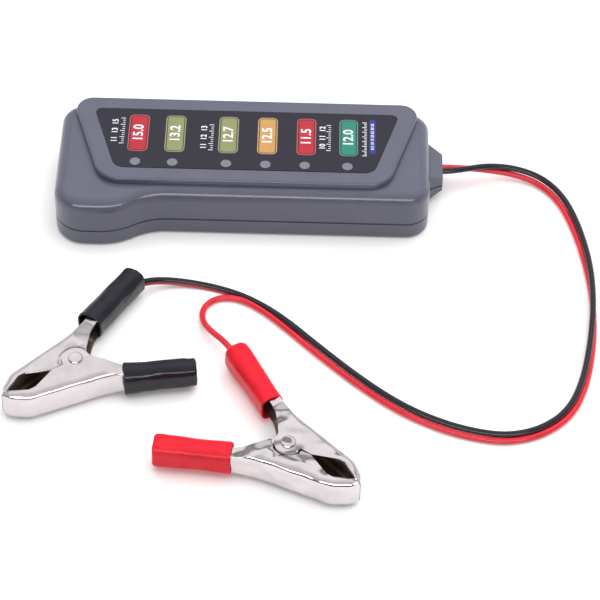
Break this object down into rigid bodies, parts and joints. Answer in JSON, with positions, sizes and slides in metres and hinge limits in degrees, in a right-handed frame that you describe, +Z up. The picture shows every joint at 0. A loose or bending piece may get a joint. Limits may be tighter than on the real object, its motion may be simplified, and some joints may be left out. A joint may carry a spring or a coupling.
{
  "type": "battery tester",
  "caption": "Handheld LED battery tester: moulded split case with a raised face panel and indicator lamps, and a bonded lead that ends in sprung battery clips.",
  "frame": {"origin": "middle of the case's underside, gland included, on the surface that the tester lies on", "axes": "+X along the case towards the gland, +Y to the back, away from the clips, +Z up through the face label"},
  "size_m": [0.1846, 0.1554, 0.0213],
  "materials": {
    "housing_plastic": "fine satin",
    "label_film": "satin print",
    "lamp_lens": "frosted",
    "tinned_wire": "tinned",
    "board_laminate": "solder mask",
    "chip_epoxy": "moulded",
    "resistor_ceramic": "glazed",
    "capacitor_can": "bright",
    "tie_nylon": "moulded",
    "screw_steel": "zinc",
    "black_vinyl": "satin",
    "red_vinyl": "satin",
    "nickel_plate": "bright nickel",
    "spring_steel": "drawn",
    "crimp_brass": "drawn"
  },
  "bodies": {
    "root": {"upper_housing": "housing_plastic", "lower_housing": "housing_plastic", "face_label": "label_film", "led_legs": "tinned_wire", "circuit_board": "board_laminate", "control_chip": "chip_epoxy", "resistors": "resistor_ceramic", "smoothing_capacitor": "capacitor_can", "polarity_diode": "chip_epoxy", "cable_tie": "tie_nylon", "housing_screws": "screw_steel", "black_lead": "black_vinyl", "red_lead": "red_vinyl", "led_1": "lamp_lens", "led_2": "lamp_lens", "led_3": "lamp_lens", "led_4": "lamp_lens", "led_5": "lamp_lens", "led_6": "lamp_lens", "black_wire_jaw": "nickel_plate", "black_clip_rivet": "nickel_plate", "black_clip_spring": "spring_steel", "black_wire_sleeve": "black_vinyl", "black_wire_crimp": "crimp_brass", "red_wire_jaw": "nickel_plate", "red_clip_rivet": "nickel_plate", "red_clip_spring": "spring_steel", "red_wire_sleeve": "red_vinyl", "red_wire_crimp": "crimp_brass"},
    "black grip": {"black_grip_jaw": "nickel_plate", "black_grip_sleeve": "black_vinyl"},
    "red grip": {"red_grip_jaw": "nickel_plate", "red_grip_sleeve": "red_vinyl"}
  },
  "joints": [
    {"name": "black_clip_squeeze", "type": "hinge", "parent": "root", "child": "black grip", "pos_m": [-0.0511, -0.0838, 0.006], "axis": [0, 0, 1], "range_deg": [0, 32], "stiffness_Nm_per_rad": 0.3, "springref_deg": -28.65, "deforming": ["black_clip_spring"]},
    {"name": "red_clip_squeeze", "type": "hinge", "parent": "root", "child": "red grip", "pos_m": [0.0148, -0.1149, 0.006], "axis": [0, 0, -1], "range_deg": [0, 32], "stiffness_Nm_per_rad": 0.3, "springref_deg": -28.65, "deforming": ["red_clip_spring"]}
  ]
}
